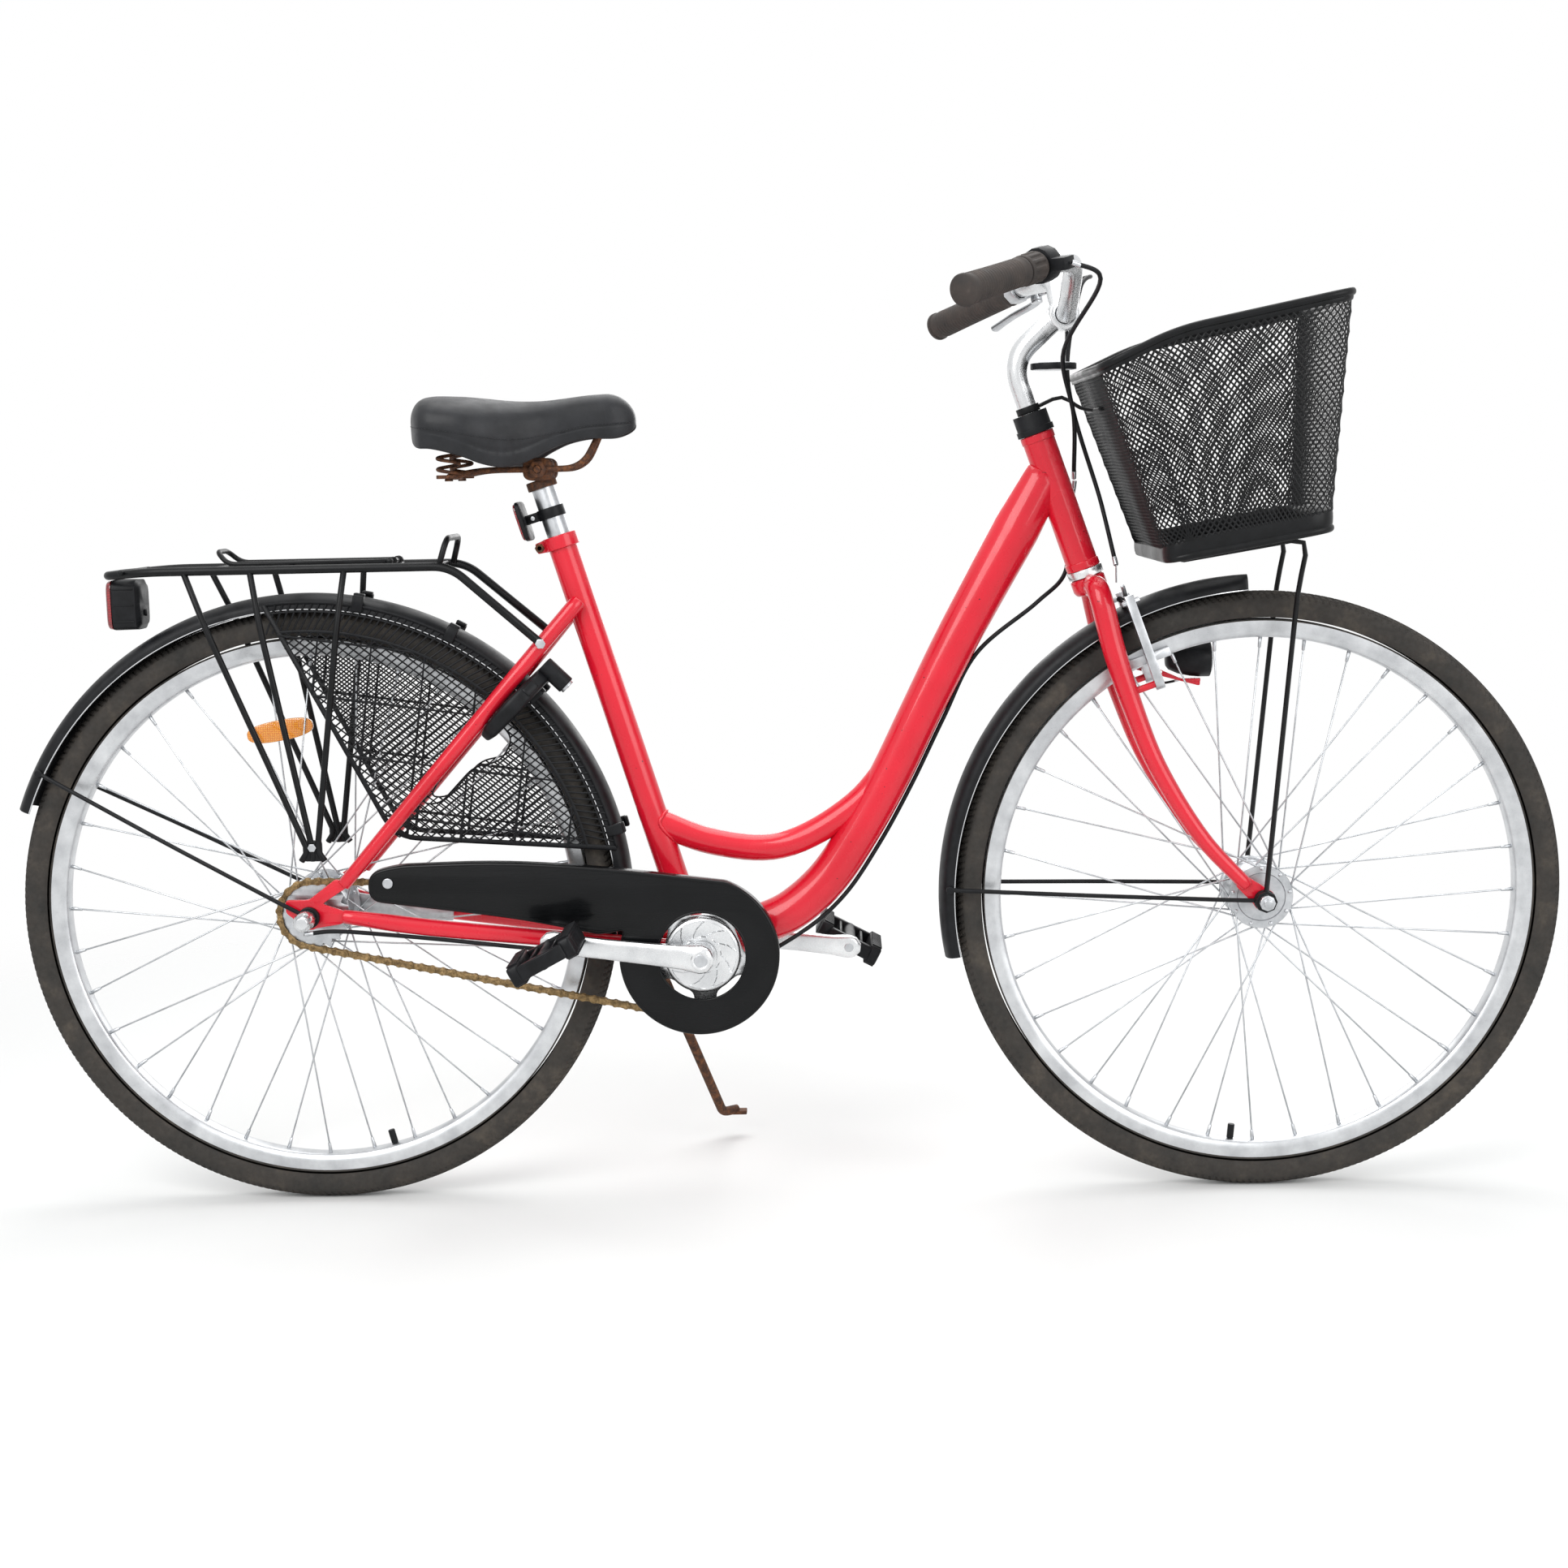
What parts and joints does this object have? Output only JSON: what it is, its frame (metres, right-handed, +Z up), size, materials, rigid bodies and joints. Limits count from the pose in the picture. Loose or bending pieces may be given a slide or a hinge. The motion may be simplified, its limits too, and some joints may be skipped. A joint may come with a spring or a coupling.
{
  "type": "step through bicycle",
  "caption": "Upright city bicycle with a deep step-through main tube, front basket, rear rack, mudguards, net skirt guards, chain guard, ring lock and side stand.",
  "frame": {"origin": "on the ground under the middle of the bicycle's length and width", "axes": "+X forwards, +Y to the rider's left, +Z up; the drive side is at -Y"},
  "size_m": [1.789, 0.6048, 1.0728],
  "materials": {
    "painted_red": "gloss",
    "black_plastic": "satin",
    "gloss_black": "gloss",
    "black_paint": "satin",
    "polished_alloy": "polished",
    "zinc_steel": "satin",
    "rusty_steel": "rusty",
    "rusty_chain": "rusty",
    "alloy": "satin",
    "tyre_rubber": "matte",
    "grip_rubber": "matte",
    "vinyl": "satin",
    "red_lens": "gloss",
    "amber_lens": "gloss"
  },
  "bodies": {
    "frame": {"frame": "painted_red", "bottom_bracket_cartridge": "zinc_steel", "seat_collar": "rusty_steel", "headset_lower_cup": "polished_alloy", "rear_mudguard": "black_plastic", "rear_rack": "black_paint", "rear_light": "black_plastic", "rear_light_lens": "red_lens", "skirt_guard_left": "black_paint", "skirt_guard_right": "black_paint", "ring_lock_body": "black_plastic", "chain": "rusty_chain", "chain_guard": "gloss_black", "kickstand_bracket": "rusty_steel", "shift_cable_lower": "black_plastic", "hub_cap": "polished_alloy", "rear_axle": "zinc_steel", "coaster_brake_arm": "zinc_steel"},
    "steering": {"fork": "painted_red", "headset_cover": "black_plastic", "stem": "polished_alloy", "handlebar": "polished_alloy", "grip_left": "grip_rubber", "grip_right": "grip_rubber", "shifter_housing": "black_plastic", "brake_lever_bracket": "alloy", "front_brake_cable": "black_plastic", "shift_cable_upper": "black_plastic", "front_mudguard": "black_plastic", "basket": "black_paint", "basket_bracket": "black_paint", "basket_stays": "black_paint", "headlight": "black_plastic", "dynamo_wire": "black_plastic", "front_reflector": "black_plastic", "front_axle": "zinc_steel"},
    "front_wheel": {"front_tyre": "tyre_rubber", "front_rim": "alloy", "front_hub_and_spokes": "zinc_steel"},
    "rear_wheel": {"rear_tyre": "tyre_rubber", "rear_rim": "alloy", "rear_hub_and_spokes": "zinc_steel", "wheel_reflector": "amber_lens"},
    "crank": {"crank_right_and_chainring": "polished_alloy", "crank_left": "polished_alloy"},
    "sprocket": {"sprocket": "zinc_steel"},
    "pedal_right": {"pedal_right": "black_plastic"},
    "pedal_left": {"pedal_left": "black_plastic"},
    "kickstand": {"kickstand_leg": "rusty_steel"},
    "brake_lever": {"brake_lever": "alloy"},
    "brake_arm_left": {"brake_arm_left": "zinc_steel"},
    "brake_arm_right": {"brake_arm_right": "zinc_steel"},
    "twist_shifter": {"twist_grip": "grip_rubber"},
    "seatpost": {"seatpost": "zinc_steel", "saddle": "vinyl", "saddle_frame": "rusty_steel", "saddle_clamp": "rusty_steel", "post_reflector": "red_lens"},
    "rack_clip": {"rack_clip": "black_paint"},
    "lock_bolt": {"ring_lock_bolt": "zinc_steel"}
  },
  "joints": [
    {"name": "steering_turn", "type": "hinge", "parent": "frame", "child": "steering", "pos_m": [0.3475, 0, 0.727], "axis": [-0.3272, 0, 0.9449], "range_deg": [-50, 50]},
    {"name": "front_wheel_spin", "type": "hinge", "parent": "steering", "child": "front_wheel", "pos_m": [0.5455, 0, 0.349], "axis": [0, 1, 0], "continuous": true},
    {"name": "rear_wheel_spin", "type": "hinge", "parent": "frame", "child": "rear_wheel", "pos_m": [-0.5455, 0, 0.349], "axis": [0, 1, 0], "continuous": true},
    {"name": "crank_turn", "type": "hinge", "parent": "frame", "child": "crank", "pos_m": [-0.0965, 0, 0.296], "axis": [0, 1, 0], "range_deg": [-225, 55]},
    {"name": "sprocket_turn", "type": "hinge", "parent": "frame", "child": "sprocket", "pos_m": [-0.5455, 0, 0.349], "axis": [0, 1, 0], "range_deg": [-455, 115]},
    {"name": "pedal_right_spin", "type": "hinge", "parent": "crank", "child": "pedal_right", "pos_m": [-0.26523, 0, 0.31672], "axis": [0, 1, 0], "continuous": true},
    {"name": "pedal_left_spin", "type": "hinge", "parent": "crank", "child": "pedal_left", "pos_m": [0.07223, 0, 0.27528], "axis": [0, 1, 0], "continuous": true},
    {"name": "kickstand_fold", "type": "hinge", "parent": "frame", "child": "kickstand", "pos_m": [-0.1505, 0.04, 0.26], "axis": [0.0379, 0.8071, 0.5892], "range_deg": [0, 93.5]},
    {"name": "brake_lever_pull", "type": "hinge", "parent": "steering", "child": "brake_lever", "pos_m": [0.31196, 0.18861, 1.04491], "axis": [-0.1322, 0.1762, 0.9754], "range_deg": [0, 10], "stiffness_Nm_per_rad": 1.5, "springref_deg": -17.19},
    {"name": "brake_arm_left_close", "type": "hinge", "parent": "steering", "child": "brake_arm_left", "pos_m": [0.4225, 0.044, 0.597], "axis": [0.9449, 0, 0.3272], "range_deg": [0, 2.2]},
    {"name": "brake_arm_right_close", "type": "hinge", "parent": "steering", "child": "brake_arm_right", "pos_m": [0.4225, -0.044, 0.597], "axis": [-0.9449, 0, -0.3272], "range_deg": [0, 2.2]},
    {"name": "twist_shifter_turn", "type": "hinge", "parent": "steering", "child": "twist_shifter", "pos_m": [0.29217, -0.165, 1.05469], "axis": [-0.5853, -0.7804, -0.2203], "range_deg": [-45, 45]},
    {"name": "seatpost_slide", "type": "slide", "parent": "frame", "child": "seatpost", "axis": [-0.2905, 0, 0.9569], "range_m": [0, 0.05]},
    {"name": "rack_clip_lift", "type": "hinge", "parent": "frame", "child": "rack_clip", "pos_m": [-0.44095, 0, 0.75217], "axis": [0, 1, 0], "range_deg": [0, 70], "stiffness_Nm_per_rad": 0.6, "springref_deg": -34.38},
    {"name": "lock_bolt_turn", "type": "hinge", "parent": "frame", "child": "lock_bolt", "pos_m": [-0.30631, 0, 0.5836], "axis": [-0.7108, 0, 0.7034], "range_deg": [0, 76]}
  ],
  "couplings": [
    {"joint": "sprocket_turn", "follows": "crank_turn", "ratio": 2},
    {"joint": "brake_arm_left_close", "follows": "brake_lever_pull", "ratio": 0.2},
    {"joint": "brake_arm_right_close", "follows": "brake_lever_pull", "ratio": 0.2}
  ]
}
